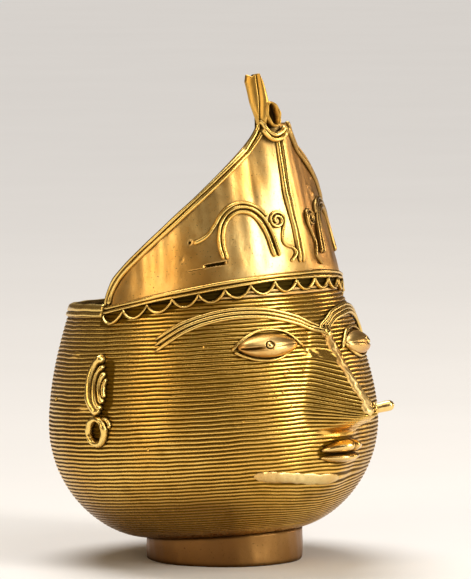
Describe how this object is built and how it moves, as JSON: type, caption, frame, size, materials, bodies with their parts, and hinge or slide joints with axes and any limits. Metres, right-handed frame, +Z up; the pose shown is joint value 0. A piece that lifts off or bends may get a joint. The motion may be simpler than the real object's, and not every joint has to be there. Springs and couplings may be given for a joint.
{
  "type": "planter pot",
  "caption": "Cast brass head-shaped planter: ribbed hollow bowl with applied face and ear ornament, a tall curved crown sheet over the front half of the mouth, and a plain foot ring.",
  "frame": {"origin": "centre of the foot ring's underside, on the surface the pot stands on", "axes": "+Z up; the face looks along -Y; the figure's right side is at -X; the pot's own axis leans back towards +Y by 4.8 degrees"},
  "size_m": [0.1238, 0.1349, 0.1749],
  "materials": {
    "threaded_wall": "hand-polished cast brass, darker in the grooves between threads",
    "worn_patch": "rubbed cast brass, slightly mottled",
    "crown_sheet": "satin cast brass, mottled, darker along the wires",
    "foot_and_rim": "duller cast brass with brown patina",
    "wires": "polished cast brass",
    "pellets": "bright polished cast brass"
  },
  "bodies": {
    "root": {"head_wall": "threaded_wall", "nose": "threaded_wall", "nose_bridge_strip": "wires", "chin_patch": "worn_patch", "rim_band": "foot_and_rim", "foot_ring": "foot_and_rim", "crown_sheet": "crown_sheet", "crown_edge_wires_right": "wires", "crown_edge_wires_left": "wires", "crown_centre_wires": "wires", "crown_collar_wires": "wires", "finial_blade_right": "pellets", "finial_blade_left": "pellets", "finial_cup": "pellets", "arch_wires_right": "wires", "arch_wires_left": "wires", "scroll_wire_right": "wires", "scroll_wire_left": "wires", "headband_upper_wires": "wires", "headband_wave_wire": "wires", "brow_wires_right": "wires", "brow_wires_left": "wires", "eyeball_right": "pellets", "eyeball_left": "pellets", "pupil_right": "pellets", "pupil_left": "pellets", "eyelid_wires_right": "wires", "eyelid_wires_left": "wires", "upper_lip": "pellets", "lower_lip": "pellets", "nose_stud": "pellets", "nose_stud_collar": "pellets", "ear_wires_right": "wires", "ear_wires_left": "wires", "ear_ring_right": "pellets", "ear_ring_left": "pellets"}
  },
  "joints": []
}
